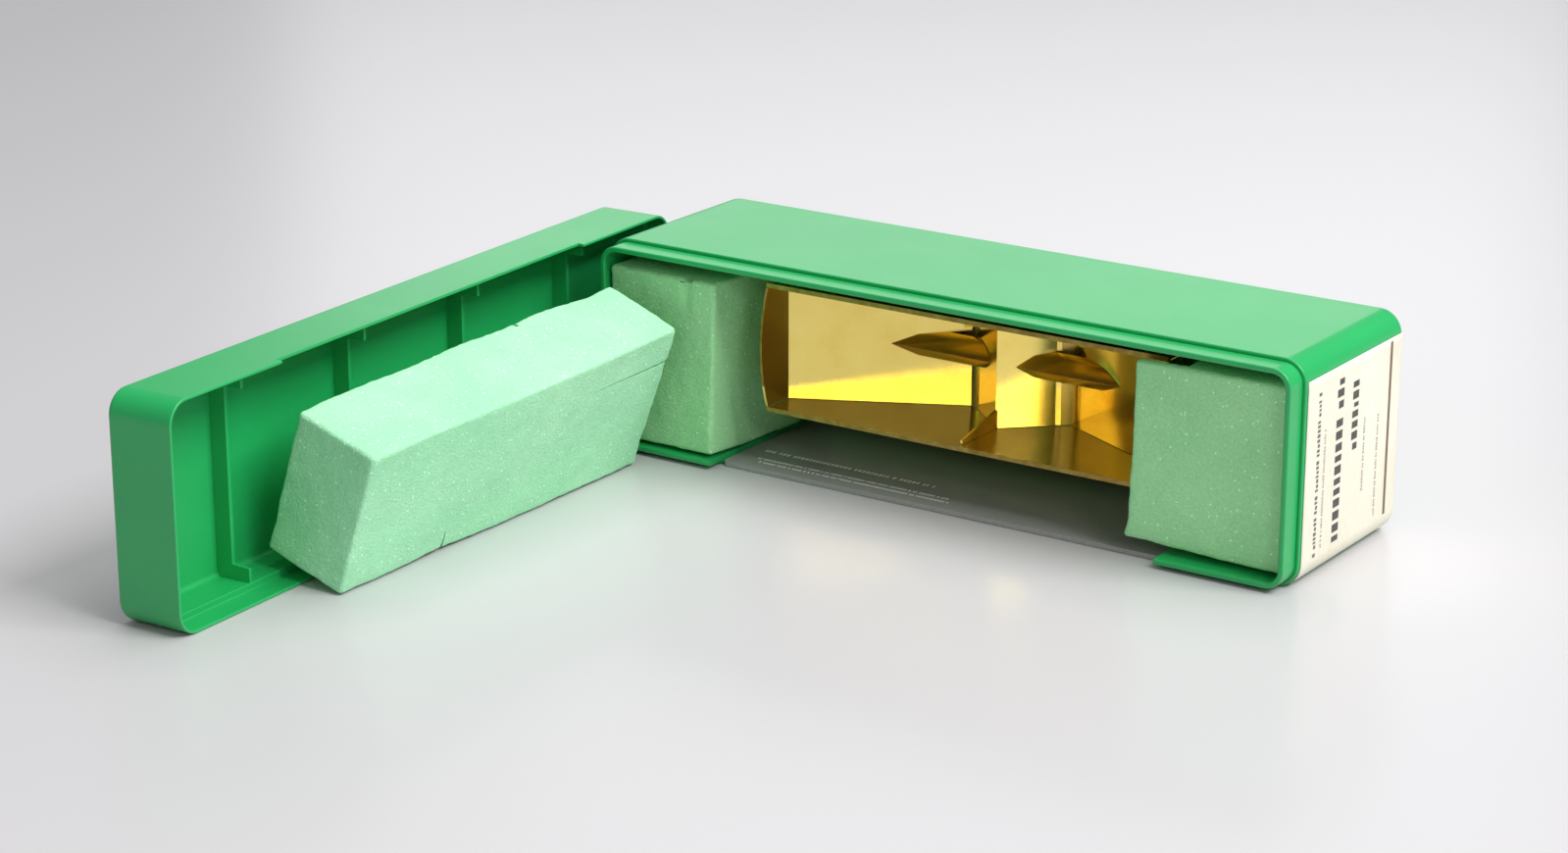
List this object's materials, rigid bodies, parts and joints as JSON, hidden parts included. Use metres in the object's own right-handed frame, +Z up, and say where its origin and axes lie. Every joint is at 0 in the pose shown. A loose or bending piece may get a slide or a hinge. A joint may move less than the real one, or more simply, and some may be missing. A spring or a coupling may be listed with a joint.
{
  "type": "model hopper car in storage case",
  "caption": "Brass model twin hopper car on its side in an open two-piece plastic case with a clear side window, foam pads and a lift-off lid.",
  "frame": {"origin": "on the surface that the case base rests on, at the middle of the base's length and 29.5 mm in front of its back face", "axes": "+X along the case base towards the labelled end, +Y into the base from its open front, +Z up"},
  "size_m": [0.2372, 0.2405, 0.06],
  "materials": {
    "case_plastic": "satin moulded",
    "window_plastic": "clear moulded",
    "label_paper": "matt paper",
    "foam": "open-cell foam",
    "brass": "lacquered, lightly polished",
    "wheel_metal": "turned",
    "coupler_metal": "blackened casting",
    "screw_metal": "turned"
  },
  "bodies": {
    "case": {"case_base": "case_plastic", "side_window": "window_plastic", "end_label": "label_paper", "foam_pad_left": "foam", "foam_pad_back": "foam"},
    "lid": {"case_lid": "case_plastic"},
    "loose_strip": {"foam_strip": "foam"},
    "right_pad": {"foam_pad_right": "foam"},
    "truck_a": {"truck_frame_a_upper": "brass", "truck_frame_a_lower": "brass", "truck_bolster_a": "brass"},
    "axle_a_outer": {"wheelset_a_outer": "wheel_metal"},
    "axle_a_inner": {"wheelset_a_inner": "wheel_metal"},
    "coupler_a_swing": {"coupler_a": "coupler_metal"},
    "doors_a": {"hopper_door_a_upper": "brass", "hopper_door_a_lower": "brass"},
    "truck_b": {"truck_frame_b_upper": "brass", "truck_frame_b_lower": "brass", "truck_bolster_b": "brass"},
    "axle_b_outer": {"wheelset_b_outer": "wheel_metal"},
    "axle_b_inner": {"wheelset_b_inner": "wheel_metal"},
    "coupler_b_swing": {"coupler_b": "coupler_metal"},
    "doors_b": {"hopper_door_b_upper": "brass", "hopper_door_b_lower": "brass"},
    "hand_wheel": {"brake_wheel": "brass"},
    "car": {"air_reservoir": "brass", "body_bolster_a": "brass", "body_bolster_b": "brass", "brake_cylinder": "brass", "brake_housing": "brass", "brake_platform": "brass", "car_side_lower": "brass", "car_side_upper": "brass", "centre_ridge": "brass", "centre_sill": "brass", "coupler_box_a": "brass", "coupler_box_b": "brass", "coupler_screw_a": "screw_metal", "coupler_screw_b": "screw_metal", "end_sheet_a": "brass", "end_sheet_b": "brass", "end_sill_a": "brass", "end_sill_b": "brass", "kingpin_screw_a": "screw_metal", "kingpin_screw_b": "screw_metal", "ladder_a_lower": "brass", "ladder_a_upper": "brass", "ladder_b_lower": "brass", "ladder_b_upper": "brass", "sill_hood_a": "brass", "sill_hood_b": "brass", "slope_sheet_a": "brass", "slope_sheet_b": "brass"}
  },
  "joints": [
    {"name": "lid_lift_off", "type": "slide", "parent": "case", "child": "lid", "axis": [-0.999, -0.0454, 0], "range_m": [0, 0.08]},
    {"name": "loose_strip_slide", "type": "slide", "parent": "case", "child": "loose_strip", "axis": [0.007, -1, 0], "range_m": [0, 0.03]},
    {"name": "car_lift_out", "type": "slide", "parent": "case", "child": "car", "axis": [0, -1, 0], "range_m": [0, 0.06]},
    {"name": "right_pad_pull", "type": "slide", "parent": "case", "child": "right_pad", "axis": [0, -1, 0], "range_m": [0, 0.06]},
    {"name": "truck_a_swivel", "type": "hinge", "parent": "car", "child": "truck_a", "pos_m": [-0.0379, 0.0076, 0.0355], "axis": [0, -1, 0], "range_deg": [-10, 10]},
    {"name": "axle_a_outer_spin", "type": "hinge", "parent": "truck_a", "child": "axle_a_outer", "pos_m": [-0.0475, 0.0088, 0.0355], "axis": [0, 0, 1], "continuous": true},
    {"name": "axle_a_inner_spin", "type": "hinge", "parent": "truck_a", "child": "axle_a_inner", "pos_m": [-0.0283, 0.0088, 0.0355], "axis": [0, 0, 1], "continuous": true},
    {"name": "coupler_a_swing", "type": "hinge", "parent": "car", "child": "coupler_a_swing", "pos_m": [-0.0479, 0.00354, 0.0355], "axis": [0, -1, 0], "range_deg": [-7, 7], "stiffness_Nm_per_rad": 0.002},
    {"name": "doors_a_open", "type": "hinge", "parent": "car", "child": "doors_a", "pos_m": [-0.00713, 0.00765, 0.0355], "axis": [0, 0, -1], "range_deg": [0, 50]},
    {"name": "truck_b_swivel", "type": "hinge", "parent": "car", "child": "truck_b", "pos_m": [0.0491, 0.0076, 0.0355], "axis": [0, -1, 0], "range_deg": [-10, 10]},
    {"name": "axle_b_outer_spin", "type": "hinge", "parent": "truck_b", "child": "axle_b_outer", "pos_m": [0.0587, 0.0088, 0.0355], "axis": [0, 0, 1], "continuous": true},
    {"name": "axle_b_inner_spin", "type": "hinge", "parent": "truck_b", "child": "axle_b_inner", "pos_m": [0.0395, 0.0088, 0.0355], "axis": [0, 0, 1], "continuous": true},
    {"name": "coupler_b_swing", "type": "hinge", "parent": "car", "child": "coupler_b_swing", "pos_m": [0.0591, 0.00354, 0.0355], "axis": [0, -1, 0], "range_deg": [-7, 7], "stiffness_Nm_per_rad": 0.002},
    {"name": "doors_b_open", "type": "hinge", "parent": "car", "child": "doors_b", "pos_m": [0.01833, 0.00765, 0.0355], "axis": [0, 0, 1], "range_deg": [0, 50]},
    {"name": "hand_wheel_spin", "type": "hinge", "parent": "car", "child": "hand_wheel", "pos_m": [0.07035, -0.015, 0.042], "axis": [1, 0, 0], "continuous": true}
  ],
  "couplings": [
    {"joint": "right_pad_pull", "follows": "car_lift_out", "ratio": 1}
  ]
}
